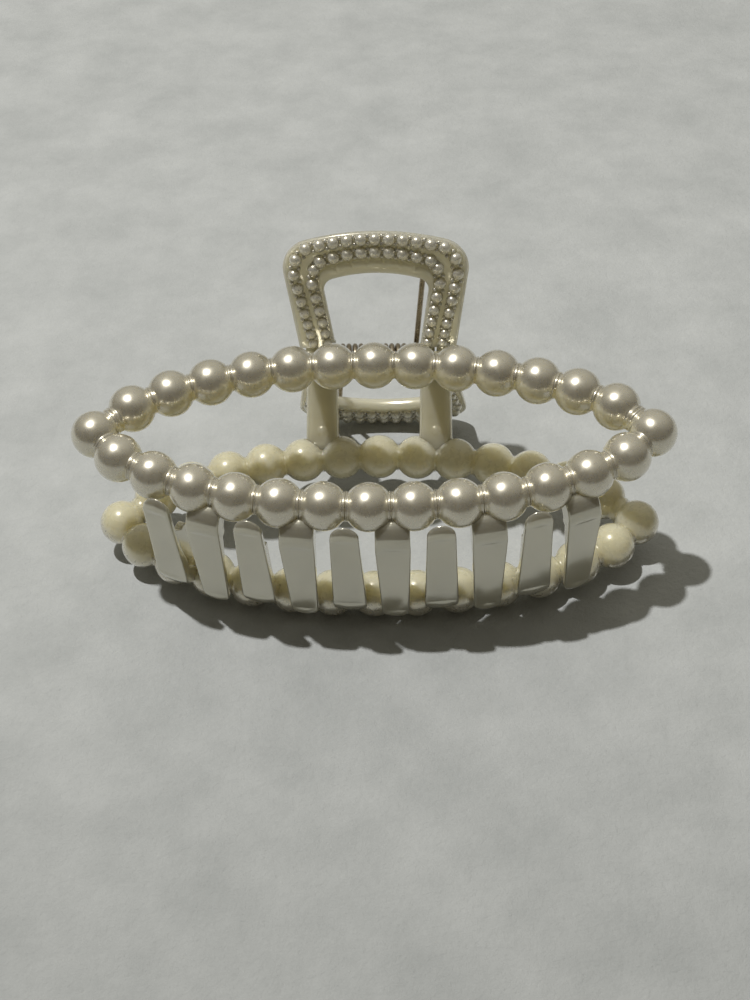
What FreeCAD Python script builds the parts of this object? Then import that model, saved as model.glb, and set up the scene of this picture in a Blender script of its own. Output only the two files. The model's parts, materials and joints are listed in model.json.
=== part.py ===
"""Claw clip with two bead-loop jaws, a hinge pin and a torsion spring.

Both jaws are the same moulding; the lower one is turned half a turn about the clip's front-back
axis, so its teeth fall between the upper ones.  Each moulding is built as simple neighbouring nodes
that meet face to face.

Jaw frame, in which everything is drawn: origin on the hinge pin, +X right, +Y towards the handles,
+Z towards the upper jaw.  The finished clip is then laid on its lower jaw, with z = 0 where it rests.
"""
import FreeCAD, Part
import math
import os
from FreeCAD import Matrix, Vector

# Bead loop
BEAD_D = 8.0
NECK_D = 4.3                  # round neck between two neighbouring beads
NECK_LENGTH = 2.0             # its ends lie inside the beads
LOOP_HALF_LENGTH = 46.0       # hinge middle to the end bead's centre, along X
LOOP_HALF_DEPTH = 15.1        # half of the distance between the two rows' middle beads
LOOP_POWER = 2.2              # the outline is a superellipse whose ends come to a soft point
LOOP_ROUNDING = 0.7
BACK_ROW_Y = -13.0            # middle bead of the back row
LOOP_Z = 12.5                 # plane of the upper loop's bead centres
BEADS_PER_SIDE = 6            # between the middle bead and the end bead, in each row
BACK_PITCH = 7.03
FRONT_PITCH = 7.2

# Teeth; outward is away from the loop, and heights are counted from the loop's plane
TOOTH_GAPS = (-4, -2, 0, 2, 4)    # each tooth grows out near the gap after this front bead
TOOTH_SHIFT = 0.1                 # middle tooth's root from its gap's middle, towards +X
TOOTH_SPREAD = 0.225              # further shift for each gap away from the middle one
TOOTH_FACE = 5.3                  # outward distance of the front face
TOOTH_BACK = 4.2                  # outward distance of the back face at the tip
TOOTH_REACH = 25.0                # loop plane to tooth tip
TOOTH_ROOT_W = 5.7
TOOTH_TIP_W = 4.7
ROOT_TAPER = 0.2                  # the tooth is this much narrower on each side at the loop's plane
WIDEST_DROP = 4.0                 # loop plane to where the tooth has its full root width
ROOT_OUT = 1.0                    # where the tooth starts on top, inside the beads
ROOT_DROP = 0.6
SHOULDER_DROP = 5.0               # where the shoulder's curve has become the flat front face
SHOULDER_MID = (1.25, 1.95)       # the curve's middle: behind the front face, below the loop plane
ROOT_UNDER = (1.0, 5.6)           # underside of the root: outward, below the loop plane
BACK_KNEE = (3.6, 8.0)            # where the underside has become the back face
TIP_FRONT_RISE = 3.2              # the front face curves back to the tip over this height
TIP_FRONT_MID = (0.22, 1.2)       # that curve's middle: behind the face, above the tip
TIP_BACK_RISE = 1.4
TIP_BACK_MID = (0.12, 0.5)
WEB_T = 1.4                       # stiffening web behind each tooth
WEB_DEPTH = 1.2                   # how far the web runs inward past the bead centres
WEB_NOSE = 12.6                   # loop plane to the web's rounded nose
WEB_TOP = 2.4                     # loop plane to the web's upper end, inside the beads
WEB_SLOPE = 4.2                   # the web's lower edge falls by this from its nose to the tooth

# Hinge
PIN_R = 0.9
PIN_HALF_LENGTH = 13.3
KNUCKLE_R = 2.9
KNUCKLE_W = 2.7
SIDE_GAP = 0.3                # between neighbouring knuckles
ROUND_GAP = 0.3               # between a knuckle and what turns round it
RUNNING_CLEARANCE = 0.04      # radial, pin in the upper jaw's knuckles

# Arms and finger handle
ARM_T = 3.2
BAR_INNER = 7.6               # inner edge of the arms and of the handle's side bars at the hinge
HANDLE_LEAN = 18.5            # degrees that the handle leans back from the upright
HANDLE_OUT = 2.2              # outer face, measured from the pin axis
HANDLE_IN = 0.1               # inner face, on the other side of the pin axis
HANDLE_FOOT = 3.4             # where the handle's bow starts, along the handle from the pin
HANDLE_FOOT_W = 14.2          # half widths
HANDLE_CORNER = 22.7
HANDLE_CORNER_W = 16.9
HANDLE_CORNER_R = 5.6
HANDLE_END = 25.8
WINDOW_CORNER = 16.5
WINDOW_CORNER_W = 9.5
WINDOW_CORNER_R = 2.4
WINDOW_END = 18.2
BACK_EDGE_R = 1.4             # rounding of the bow's edges on its inner face
CHANNEL_DEPTH = 0.5
CHANNEL_FOOT_W = 12.8
CHANNEL_RIM = 0.4             # rim left along the outer edge
CHANNEL_SIDE_BAND = 0.7       # smooth band left along the window's sides
CHANNEL_END_BAND = 2.6        # smooth band left along the window's end

# Small moulded pearls in the handle's channel
PEARL_R = 1.15
PEARL_SHRINK = 0.035          # radius lost with each pearl towards the hinge
PEARL_RISE = 0.25             # pearl centre above the channel's floor
END_PITCH = 2.42
OUTER_ROW_END = 24.6
OUTER_ROW_CORNER = 20.8
OUTER_ROW_FOOT_X = 11.5
OUTER_ROW_ARCH_R = 42.0
INNER_ROW_END = 22.2
INNER_ROW_CORNER = 19.0
INNER_ROW_FOOT_X = 8.75
INNER_ROW_ARCH_R = 27.0
ROW_FLARE = 0.2               # how fast the side rows spread along the handle
SIDE_PITCH = 2.85
SIDE_PITCH_STEP = 0.17        # the pitch shrinks by this with each pearl towards the hinge
CORNER_PULL = 1.0             # how far the corner pearl is pulled in from its side row

# Torsion spring
WIRE_R = 0.5
BEND_R = 0.53                 # ball that joins a leg to the coil's end
COIL_R = 2.4                  # to the wire's centre
COIL_TURNS = 12
COIL_HALF_LENGTH = 6.7
LEG_LEAN = 4.7                # degrees between a leg and its handle
LEG_SPLAY = 5.5               # degrees that a leg spreads towards its side bar
LEG_LENGTH = 20.5

BEAD_R = BEAD_D / 2
FRONT_ROW_Y = BACK_ROW_Y - 2 * LOOP_HALF_DEPTH
BAR_OUTER = BAR_INNER + 2 * KNUCKLE_W + SIDE_GAP
HANDLE_ANGLE = math.radians(HANDLE_LEAN)
ALONG_HANDLE = Vector(0, math.sin(HANDLE_ANGLE), math.cos(HANDLE_ANGLE))
OUT_OF_HANDLE = Vector(0, -math.cos(HANDLE_ANGLE), math.sin(HANDLE_ANGLE))
X_AXIS = Vector(1, 0, 0)
ORIGIN = Vector(0, 0, 0)


# ---------------------------------------------------------------- helpers
def frame_matrix(x_dir, y_dir, z_dir, origin):
    """The matrix that carries local X, Y, Z onto the three directions and the local origin onto origin."""
    rows = []
    for axis in ("x", "y", "z"):
        rows += [getattr(v, axis) for v in (x_dir, y_dir, z_dir, origin)]
    return Matrix(*rows, 0, 0, 0, 1)


def placed(shape, matrix):
    moved = shape.copy()
    moved.transformShape(matrix)
    return moved


def prism(edges, start, depth):
    """A closed outline moved to start and pushed out by depth."""
    wire = Part.Wire(Part.__sortEdges__(edges))
    wire.translate(start)
    return Part.Face(wire).extrude(depth)


def polyline(points):
    return [Part.LineSegment(a, b).toShape() for a, b in zip(points, points[1:])]


def arc(a, middle, b):
    return Part.Arc(a, middle, b).toShape()


def one_solid(shape):
    """The largest solid of a cut: slivers left between two beads are dropped."""
    return max(shape.Solids, key=lambda solid: solid.Volume)


def fillet_along(solid, direction, spots, radius):
    """Round the straight edges that run along direction through the given spots."""
    edges = []
    for edge in solid.Edges:
        if len(edge.Vertexes) < 2 or not isinstance(edge.Curve, Part.Line):
            continue
        if abs(abs(edge.tangentAt(edge.FirstParameter).dot(direction)) - 1) > 1e-6:
            continue
        if any(edge.distToShape(Part.Vertex(spot))[0] < 0.05 for spot in spots):
            edges.append(edge)
    return solid.makeFillet(radius, edges)


# ---------------------------------------------------------------- bead loop
def outline_depth(x):
    """How far the loop's outline has come in from its row at this x."""
    share = min(abs(x) / LOOP_HALF_LENGTH, 1.0)
    return LOOP_HALF_DEPTH * (1 - (1 - share ** LOOP_POWER) ** LOOP_ROUNDING)


def next_bead(x, pitch):
    """The x of the bead that sits one pitch further out along the outline."""
    ahead = x + pitch
    for _ in range(30):
        rise = outline_depth(ahead) - outline_depth(x)
        ahead = x + math.sqrt(pitch ** 2 - rise ** 2)
    return ahead


def row_of_beads(row_y, inward, pitch):
    """Bead centres of one row, from left to right, without the end beads."""
    right = [0.0]
    for _ in range(BEADS_PER_SIDE):
        right.append(next_bead(right[-1], pitch))
    every_x = [-x for x in reversed(right[1:])] + right
    return [Vector(x, row_y + inward * outline_depth(x), LOOP_Z) for x in every_x]


def bead_centres():
    """The front row, the right end, the back row and the left end, in order round the loop."""
    middle_y = (BACK_ROW_Y + FRONT_ROW_Y) / 2
    front = row_of_beads(FRONT_ROW_Y, 1, FRONT_PITCH)
    back = row_of_beads(BACK_ROW_Y, -1, BACK_PITCH)
    right_end = Vector(LOOP_HALF_LENGTH, middle_y, LOOP_Z)
    left_end = Vector(-LOOP_HALF_LENGTH, middle_y, LOOP_Z)
    return front + [right_end] + back[::-1] + [left_end]


def bead_loop():
    centres = bead_centres()
    following = centres[1:] + centres[:1]
    pieces = []
    for before, centre, after in zip(centres[-1:] + centres[:-1], centres, following):
        tangent = after - before
        bead = Part.makeSphere(BEAD_R, centre)
        seam_turn = math.degrees(math.atan2(tangent.y, tangent.x)) + 90
        bead.rotate(centre, Vector(0, 0, 1), seam_turn)
        pieces.append(bead)
    for a, b in zip(centres, following):
        direction = (b - a).normalize()
        start = (a + b) * 0.5 - direction * (NECK_LENGTH / 2)
        pieces.append(Part.makeCylinder(NECK_D / 2, NECK_LENGTH, start, direction))
    return one_solid(pieces[0].multiFuse(pieces[1:]))


# ---------------------------------------------------------------- teeth
def tooth_plate():
    """A tooth in its own frame: X across it, Y inward, Z up, origin in the gap between two beads."""
    face = -TOOTH_FACE
    back = -TOOTH_BACK
    root_top = Vector(0, -ROOT_OUT, -ROOT_DROP)
    shoulder_middle = Vector(0, face + SHOULDER_MID[0], -SHOULDER_MID[1])
    face_top = Vector(0, face, -SHOULDER_DROP)
    face_end = Vector(0, face, TIP_FRONT_RISE - TOOTH_REACH)
    front_middle = Vector(0, face + TIP_FRONT_MID[0], TIP_FRONT_MID[1] - TOOTH_REACH)
    tip_end = Vector(0, (face + back) / 2, -TOOTH_REACH)
    back_middle = Vector(0, back - TIP_BACK_MID[0], TIP_BACK_MID[1] - TOOTH_REACH)
    back_end = Vector(0, back, TIP_BACK_RISE - TOOTH_REACH)
    knee = Vector(0, -BACK_KNEE[0], -BACK_KNEE[1])
    under = Vector(0, -ROOT_UNDER[0], -ROOT_UNDER[1])
    side = [arc(root_top, shoulder_middle, face_top)]
    side += polyline([face_top, face_end])
    side += [arc(face_end, front_middle, tip_end), arc(tip_end, back_middle, back_end)]
    side += polyline([back_end, knee, under, root_top])
    thickness = prism(side, Vector(-TOOTH_ROOT_W, 0, 0), Vector(2 * TOOTH_ROOT_W, 0, 0))

    root = TOOTH_ROOT_W / 2
    tip = TOOTH_TIP_W / 2
    round_start = tip - TOOTH_REACH
    right_side = [(root - ROOT_TAPER, 0), (root, -WIDEST_DROP), (tip, round_start)]
    outline_points = [Vector(-x, 0, z) for x, z in reversed(right_side)]
    outline_points += [Vector(x, 0, z) for x, z in right_side]
    front = polyline(outline_points)
    front += [arc(outline_points[-1], Vector(0, 0, -TOOTH_REACH), outline_points[0])]
    outline = prism(front, Vector(0, -2 * TOOTH_FACE, 0), Vector(0, 4 * TOOTH_FACE, 0))
    return thickness.common(outline)


def tooth_web():
    """The web that stands behind a tooth, with its rounded nose towards the tooth's tip."""
    plate = -TOOTH_BACK - 0.2
    plate_top = Vector(0, plate, -WEB_TOP)
    plate_end = Vector(0, plate, -WEB_NOSE - WEB_SLOPE)
    nose_start = Vector(0, -0.6, -WEB_NOSE - 0.6)
    nose = Vector(0, WEB_DEPTH - 0.5, -WEB_NOSE + 0.1)
    nose_end = Vector(0, WEB_DEPTH, -WEB_NOSE + 1.6)
    side = polyline([plate_top, plate_end, nose_start])
    side += [arc(nose_start, nose, nose_end)]
    side += polyline([nose_end, Vector(0, WEB_DEPTH, -WEB_TOP), plate_top])
    return prism(side, Vector(-WEB_T / 2, 0, 0), Vector(WEB_T, 0, 0))


def teeth(loop):
    tooth = tooth_plate().fuse(tooth_web())
    row = row_of_beads(FRONT_ROW_Y, 1, FRONT_PITCH)
    made = []
    for gap in TOOTH_GAPS:
        left = row[BEADS_PER_SIDE + gap]
        right = row[BEADS_PER_SIDE + gap + 1]
        across = (right - left).normalize()
        root = (left + right) * 0.5 + across * (TOOTH_SHIFT + TOOTH_SPREAD * gap)
        inward = Vector(0, 0, 1).cross(across)
        matrix = frame_matrix(across, inward, Vector(0, 0, 1), root)
        made.append(one_solid(placed(tooth, matrix).cut(loop)))
    return Part.makeCompound(made)


# ---------------------------------------------------------------- handle bow and its pearls
def bow_solid(low, high, foot_w, outer_inset, side_band, end_band):
    """The handle's bow between two levels, drawn flat: X across, Y along the handle, Z out of it."""
    outer_foot = Vector(foot_w, HANDLE_FOOT, 0)
    outer_corner = Vector(HANDLE_CORNER_W - outer_inset, HANDLE_CORNER - outer_inset, 0)
    outer_end = Vector(0, HANDLE_END - outer_inset, 0)
    inner_foot = Vector(BAR_INNER + side_band, HANDLE_FOOT, 0)
    inner_corner = Vector(WINDOW_CORNER_W + side_band, WINDOW_CORNER + end_band, 0)
    inner_end = Vector(0, WINDOW_END + end_band, 0)

    def mirrored(point):
        return Vector(-point.x, point.y, point.z)

    edges = polyline([outer_corner, outer_foot, inner_foot, inner_corner])
    edges += polyline([mirrored(p) for p in (inner_corner, inner_foot, outer_foot, outer_corner)])
    edges += [arc(outer_corner, outer_end, mirrored(outer_corner))]
    edges += [arc(inner_corner, inner_end, mirrored(inner_corner))]
    solid = prism(edges, Vector(0, 0, low), Vector(0, 0, high - low))
    up = Vector(0, 0, 1)
    outer_spots = [p + up * high for p in (outer_corner, mirrored(outer_corner))]
    inner_spots = [p + up * high for p in (inner_corner, mirrored(inner_corner))]
    solid = fillet_along(solid, up, outer_spots, HANDLE_CORNER_R - outer_inset)
    return fillet_along(solid, up, inner_spots, WINDOW_CORNER_R)


def handle_matrix():
    return frame_matrix(X_AXIS, ALONG_HANDLE, OUT_OF_HANDLE, ORIGIN)


def handle_bow():
    body = bow_solid(-HANDLE_IN, HANDLE_OUT, HANDLE_FOOT_W, 0, 0, 0)
    back_edges = [edge for edge in body.Edges
                  if edge.BoundBox.ZMax < 0 and edge.BoundBox.YMax > HANDLE_FOOT + 0.01]
    body = body.makeFillet(BACK_EDGE_R, back_edges)
    floor = HANDLE_OUT - CHANNEL_DEPTH
    channel = bow_solid(floor, HANDLE_OUT + 1, CHANNEL_FOOT_W, CHANNEL_RIM,
                        CHANNEL_SIDE_BAND, CHANNEL_END_BAND)
    return placed(body.cut(channel), handle_matrix())


def pearl_row(end_along, arch_r, corner_along, foot_x, end_count, side_count):
    """Places (x, along, size step) of one row: the end, the two corners and the two sides."""
    places = []
    for i in range(end_count):
        x = (i - (end_count - 1) / 2) * END_PITCH
        places.append((x, end_along - x ** 2 / (2 * arch_r), 0))
    along = corner_along
    pitch = SIDE_PITCH
    for step in range(side_count + 1):
        x = foot_x + ROW_FLARE * (along - HANDLE_FOOT)
        if step == 0:
            x -= CORNER_PULL
        places += [(x, along, step), (-x, along, step)]
        along -= pitch
        pitch -= SIDE_PITCH_STEP
    return places


def handle_pearls(bow):
    outer = pearl_row(OUTER_ROW_END, OUTER_ROW_ARCH_R, OUTER_ROW_CORNER, OUTER_ROW_FOOT_X, 11, 7)
    inner = pearl_row(INNER_ROW_END, INNER_ROW_ARCH_R, INNER_ROW_CORNER, INNER_ROW_FOOT_X, 9, 6)
    pearls = []
    for x, along, step in outer + inner:
        radius = PEARL_R - PEARL_SHRINK * step
        start_angle = -math.degrees(math.asin(PEARL_RISE / radius))
        centre = Vector(x, along, HANDLE_OUT - CHANNEL_DEPTH + PEARL_RISE)
        pearls.append(Part.makeSphere(radius, centre, Vector(0, 0, 1), start_angle, 90, 360))
    return Part.makeCompound([one_solid(placed(pearl, handle_matrix()).cut(bow)) for pearl in pearls])


# ---------------------------------------------------------------- arms and knuckles
def arm(side, knuckle_outer, bore_r, loop):
    """One arm of the upper jaw, from the back row of beads over its knuckle to the foot of the handle."""
    loop_point = Vector(0, BACK_ROW_Y + 0.4, LOOP_Z - 0.3)
    along = (loop_point - ORIGIN).normalize()
    across = along.cross(X_AXIS) * (ARM_T / 2)
    start = X_AXIS * BAR_INNER
    width = X_AXIS * (BAR_OUTER - BAR_INNER)
    corners = [across, loop_point + across, loop_point - across, across * -1, across]
    band = prism(polyline(corners), start, width)
    foot = ALONG_HANDLE * HANDLE_FOOT
    out = OUT_OF_HANDLE * HANDLE_OUT
    inner = OUT_OF_HANDLE * -HANDLE_IN
    root = prism(polyline([inner, foot + inner, foot + out, out, inner]), start, width)
    body = band.fuse([root, Part.makeCylinder(KNUCKLE_R, width.Length, start, X_AXIS)]).removeSplitter()

    free_start = BAR_INNER if knuckle_outer else BAR_INNER + KNUCKLE_W
    room = Part.makeCylinder(KNUCKLE_R + ROUND_GAP, KNUCKLE_W + SIDE_GAP, X_AXIS * free_start, X_AXIS)
    bore = Part.makeCylinder(bore_r, 2 * BAR_OUTER, ORIGIN, X_AXIS)
    body = body.cut([room, bore])
    if side < 0:
        body = body.mirror(ORIGIN, X_AXIS)
    return one_solid(body.cut(loop))


# ---------------------------------------------------------------- pin and spring
def hinge_pin():
    pin = Part.makeCylinder(PIN_R, 2 * PIN_HALF_LENGTH, X_AXIS * -PIN_HALF_LENGTH, X_AXIS)
    return pin.makeChamfer(0.2, [edge for edge in pin.Edges if isinstance(edge.Curve, Part.Circle)])


def torsion_spring():
    """A coil along X; its right leg rises behind the upper handle, its left leg drops behind the lower."""
    leg_angle = math.radians(90 - HANDLE_LEAN + LEG_LEAN)
    start_angle = math.radians(90) - leg_angle
    turns = COIL_TURNS - start_angle / math.pi
    pitch = 2 * COIL_HALF_LENGTH / turns
    helix = Part.makeHelix(pitch, 2 * COIL_HALF_LENGTH, COIL_R)
    to_x = frame_matrix(Vector(0, math.cos(start_angle), math.sin(start_angle)),
                        Vector(0, -math.sin(start_angle), math.cos(start_angle)), X_AXIS,
                        X_AXIS * -COIL_HALF_LENGTH)
    helix.transformShape(to_x)
    coil_end = Vector(COIL_HALF_LENGTH, COIL_R * math.cos(start_angle), -COIL_R * math.sin(start_angle))
    splay = math.radians(LEG_SPLAY)
    back = math.cos(splay)
    leg = Vector(math.sin(splay), back * math.cos(leg_angle), back * math.sin(leg_angle))
    first = helix.Edges[0]
    at_start = first.FirstParameter
    section = Part.makeCircle(WIRE_R, first.valueAt(at_start), first.tangentAt(at_start))
    coil = Part.Wire(helix.Edges).makePipeShell([Part.Wire(section)], True, True)
    upper_leg = [Part.makeCylinder(WIRE_R, LEG_LENGTH, coil_end, leg), Part.makeSphere(BEND_R, coil_end)]
    lower_leg = [piece.copy() for piece in upper_leg]
    for piece in lower_leg:
        piece.rotate(ORIGIN, Vector(0, 1, 0), 180)
    return coil.multiFuse(upper_leg + lower_leg)


# ---------------------------------------------------------------- assembly
def upper_jaw(bore_r):
    loop = bead_loop()
    bow = handle_bow()
    return {
        "bead_loop": loop,
        "teeth": teeth(loop),
        "arm_left": arm(-1, False, bore_r, loop),
        "arm_right": arm(1, True, bore_r, loop),
        "handle_bow": bow,
        "handle_pearls": handle_pearls(bow),
    }


def resting_tilt():
    """Angle that lays the lower jaw on its middle front bead and on the edge of its handle's end."""
    bead = Vector(0, FRONT_ROW_Y, -LOOP_Z)
    edge = ALONG_HANDLE * HANDLE_END + OUT_OF_HANDLE * HANDLE_OUT
    edge = Vector(0, edge.y, -edge.z)
    span = edge - bead
    tilt = math.atan2(-span.z, span.y) - math.asin(BEAD_R / math.hypot(span.y, span.z))
    lowest = bead.y * math.sin(tilt) + bead.z * math.cos(tilt) - BEAD_R
    return math.degrees(tilt), -lowest


def main():
    os.makedirs("parts", exist_ok=True)
    upper = upper_jaw(PIN_R + RUNNING_CLEARANCE)
    lower = upper_jaw(PIN_R)
    other_side = {"arm_left": "arm_right", "arm_right": "arm_left"}
    nodes = {"hinge_pin": hinge_pin(), "torsion_spring": torsion_spring()}
    for name, shape in upper.items():
        nodes["upper_" + name] = shape
    for name, shape in lower.items():
        turned = shape.copy()
        turned.rotate(ORIGIN, Vector(0, 1, 0), 180)
        nodes["lower_" + other_side.get(name, name)] = turned

    tilt, lift = resting_tilt()
    for shape in nodes.values():
        shape.rotate(ORIGIN, X_AXIS, tilt)
        shape.translate(Vector(0, 0, lift))
    box = Part.makeCompound(list(nodes.values())).optimalBoundingBox(False)
    middle = (box.YMin + box.YMax) / 2
    for name, shape in nodes.items():
        shape.translate(Vector(0, -middle, 0))
        shape.exportStep(f"parts/{name}.step")
    print(f"tilt {tilt:.3f} deg, pin axis at y {-middle:.3f}, z {lift:.3f}")
    print(f"size {box.XLength:.2f} x {box.YLength:.2f} x {box.ZLength:.2f} mm, lowest {box.ZMin:.3f}")


main()
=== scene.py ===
"""Looks of the pearl claw clip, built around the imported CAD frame.

Every piece is drawn in millimetres in the jaw frame of the CAD: origin on the hinge pin, +X right,
+Y towards the handles, +Z towards the upper jaw.  place() carries it to the row frame; the lower jaw
is the same moulding turned half a turn about Y.
"""
import json
import math
import bpy
import bmesh
from mathutils import Matrix, Vector


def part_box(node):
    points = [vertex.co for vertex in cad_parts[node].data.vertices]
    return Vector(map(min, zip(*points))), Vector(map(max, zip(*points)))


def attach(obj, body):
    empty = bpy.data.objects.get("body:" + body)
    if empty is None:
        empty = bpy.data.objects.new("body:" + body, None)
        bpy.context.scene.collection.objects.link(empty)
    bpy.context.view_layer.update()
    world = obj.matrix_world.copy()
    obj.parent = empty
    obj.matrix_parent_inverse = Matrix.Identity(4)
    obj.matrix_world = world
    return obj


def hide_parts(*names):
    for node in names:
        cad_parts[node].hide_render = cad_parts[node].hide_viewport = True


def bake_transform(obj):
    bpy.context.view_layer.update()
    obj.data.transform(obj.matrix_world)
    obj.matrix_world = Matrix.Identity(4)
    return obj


MM = 0.001

# The sizes from here down to LEG_LENGTH have the same values as in the CAD.
# Bead loop
BEAD_R = 4.0
LOOP_HALF_LENGTH = 46.0
LOOP_HALF_DEPTH = 15.1
LOOP_POWER = 2.2
LOOP_ROUNDING = 0.7
BACK_ROW_Y = -13.0
FRONT_ROW_Y = BACK_ROW_Y - 2 * LOOP_HALF_DEPTH
LOOP_Z = 12.5
BEADS_PER_SIDE = 6
BACK_PITCH = 7.03
FRONT_PITCH = 7.2

# Teeth
TOOTH_GAPS = (-4, -2, 0, 2, 4)
TOOTH_SHIFT = 0.1
TOOTH_SPREAD = 0.225
TOOTH_FACE = 5.3
TOOTH_BACK = 4.2
TOOTH_REACH = 25.0
TOOTH_ROOT_W = 5.7
TOOTH_TIP_W = 4.7
WEB_T = 1.4
WEB_DEPTH = 1.2
WEB_NOSE = 12.6

# Handle
HANDLE_LEAN = math.radians(18.5)
HANDLE_OUT = 2.2
HANDLE_IN = 0.1
HANDLE_FOOT = 3.4
HANDLE_FOOT_W = 14.2
HANDLE_CORNER = 22.7
HANDLE_CORNER_W = 16.9
HANDLE_CORNER_R = 5.6
HANDLE_END = 25.8
WINDOW_FOOT_W = 7.6
WINDOW_CORNER = 16.5
WINDOW_CORNER_W = 9.5
WINDOW_CORNER_R = 2.4
WINDOW_END = 18.2
CHANNEL_DEPTH = 0.5
END_PITCH = 2.42
PEARL_R = 1.15
PEARL_SHRINK = 0.035
PEARL_RISE = 0.25

# Hinge and spring
PIN_R = 0.9
PIN_HALF_LENGTH = 13.3
KNUCKLE_R = 2.9
KNUCKLE_W = 2.7
SIDE_GAP = 0.3
ROUND_GAP = 0.3
ARM_T = 3.2
WIRE_R = 0.5
COIL_R = 2.4
COIL_TURNS = 12
COIL_HALF_LENGTH = 6.7
LEG_LEAN = math.radians(4.7)
LEG_SPLAY = math.radians(5.5)
LEG_LENGTH = 20.5

BAR_INNER = WINDOW_FOOT_W
BAR_OUTER = BAR_INNER + 2 * KNUCKLE_W + SIDE_GAP
ALONG_HANDLE = Vector((0, math.sin(HANDLE_LEAN), math.cos(HANDLE_LEAN)))
OUT_OF_HANDLE = Vector((0, -math.cos(HANDLE_LEAN), math.sin(HANDLE_LEAN)))

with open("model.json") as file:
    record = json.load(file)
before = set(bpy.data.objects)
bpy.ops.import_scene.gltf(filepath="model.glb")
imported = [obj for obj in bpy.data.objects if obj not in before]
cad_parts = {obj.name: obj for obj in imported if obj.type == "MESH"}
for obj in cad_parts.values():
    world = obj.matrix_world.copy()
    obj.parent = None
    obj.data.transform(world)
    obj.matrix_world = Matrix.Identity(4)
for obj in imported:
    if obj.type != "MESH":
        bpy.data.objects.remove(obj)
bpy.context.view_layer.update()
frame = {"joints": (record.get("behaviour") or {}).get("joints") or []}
joint = frame["joints"][0]
PIN_AXIS = Vector(joint["pos_m"])


def box_middle(node):
    low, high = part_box(node)
    return (low + high) / 2


def frame_tilt():
    """The clip lies tilted on its lower jaw: read from the line between the two loops' middles."""
    span = box_middle("upper_bead_loop") - box_middle("lower_bead_loop")
    return math.atan2(-span.y, span.z)


TO_ROW = Matrix.Translation(PIN_AXIS) @ Matrix.Rotation(frame_tilt(), 4, "X") @ Matrix.Scale(MM, 4)
JAWS = {
    "upper": TO_ROW,
    "lower": TO_ROW @ Matrix.Rotation(math.pi, 4, "Y"),
}
OTHER_SIDE = {"left": "right", "right": "left"}
UP = Vector((0, 0, 1))
RIGHT = Vector((1, 0, 0))


# ---------------------------------------------------------------- mesh helpers
def smoothstep(low, high, value):
    share = min(max((value - low) / (high - low), 0.0), 1.0)
    return share * share * (3 - 2 * share)


def mix(a, b, share):
    return a + (b - a) * share


def add_ring(bm, points):
    return [bm.verts.new(p) for p in points]


def skin(bm, first, second):
    """Quads between two rings with the same number of vertices."""
    count = len(first)
    for i in range(count):
        j = (i + 1) % count
        bm.faces.new((first[i], first[j], second[j], second[i]))


def loft(bm, sections, closed=False, cap_start=True, cap_end=True):
    """A surface through closed sections; closed joins the last one to the first."""
    rings = [add_ring(bm, section) for section in sections]
    for first, second in zip(rings, rings[1:]):
        skin(bm, first, second)
    if closed:
        skin(bm, rings[-1], rings[0])
        return rings
    if cap_start:
        bm.faces.new(rings[0][::-1])
    if cap_end:
        bm.faces.new(rings[-1])
    return rings


def make_object(name, bm, material, sharp_angle=None):
    bmesh.ops.recalc_face_normals(bm, faces=bm.faces)
    mesh = bpy.data.meshes.new(name)
    bm.to_mesh(mesh)
    bm.free()
    mesh.shade_smooth()
    if sharp_angle is not None:
        mesh.set_sharp_from_angle(angle=math.radians(sharp_angle))
    mesh.materials.append(material)
    piece = bpy.data.objects.new(name, mesh)
    bpy.context.scene.collection.objects.link(piece)
    return piece


def place(piece, jaw, node):
    """Carry a piece from the jaw frame to the row frame, and hand it to its body."""
    piece.data.transform(JAWS[jaw])
    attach(piece, jaw + "_jaw")
    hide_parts(node)
    return piece


def circle(centre, across, up, radius, count):
    points = []
    for i in range(count):
        angle = 2 * math.pi * i / count
        points.append(centre + (across * math.cos(angle) + up * math.sin(angle)) * radius)
    return points


def ball(bm, centre, radius, axis=UP, segments=24, rings=14):
    """A round pearl: a lathed half circle, closed by a fan at each pole."""
    across = axis.orthogonal().normalized()
    up = axis.cross(across).normalized()
    sections = []
    for k in range(1, rings):
        polar = math.pi * k / rings
        middle = centre - axis * (radius * math.cos(polar))
        sections.append(add_ring(bm, circle(middle, across, up, radius * math.sin(polar), segments)))
    for first, second in zip(sections, sections[1:]):
        skin(bm, first, second)
    south = bm.verts.new(centre - axis * radius)
    north = bm.verts.new(centre + axis * radius)
    for i in range(segments):
        j = (i + 1) % segments
        bm.faces.new((south, sections[0][j], sections[0][i]))
        bm.faces.new((north, sections[-1][i], sections[-1][j]))


def fuse(piece, voxel, softening):
    """Make one skin of overlapping solids and soften their inner corners."""
    merge = piece.modifiers.new("fuse", "REMESH")
    merge.mode = "VOXEL"
    merge.voxel_size = voxel * MM
    merge.use_smooth_shade = True
    soften = piece.modifiers.new("soften", "SMOOTH")
    soften.factor = 0.5
    soften.iterations = softening


# ---------------------------------------------------------------- bead loop
def outline_depth(x):
    share = min(abs(x) / LOOP_HALF_LENGTH, 1.0)
    return LOOP_HALF_DEPTH * (1 - (1 - share ** LOOP_POWER) ** LOOP_ROUNDING)


def next_bead(x, pitch):
    ahead = x + pitch
    for _ in range(30):
        rise = outline_depth(ahead) - outline_depth(x)
        ahead = x + math.sqrt(pitch ** 2 - rise ** 2)
    return ahead


def row_of_beads(row_y, inward, pitch):
    right = [0.0]
    for _ in range(BEADS_PER_SIDE):
        right.append(next_bead(right[-1], pitch))
    every_x = [-x for x in reversed(right[1:])] + right
    return [Vector((x, row_y + inward * outline_depth(x), LOOP_Z)) for x in every_x]


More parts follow.
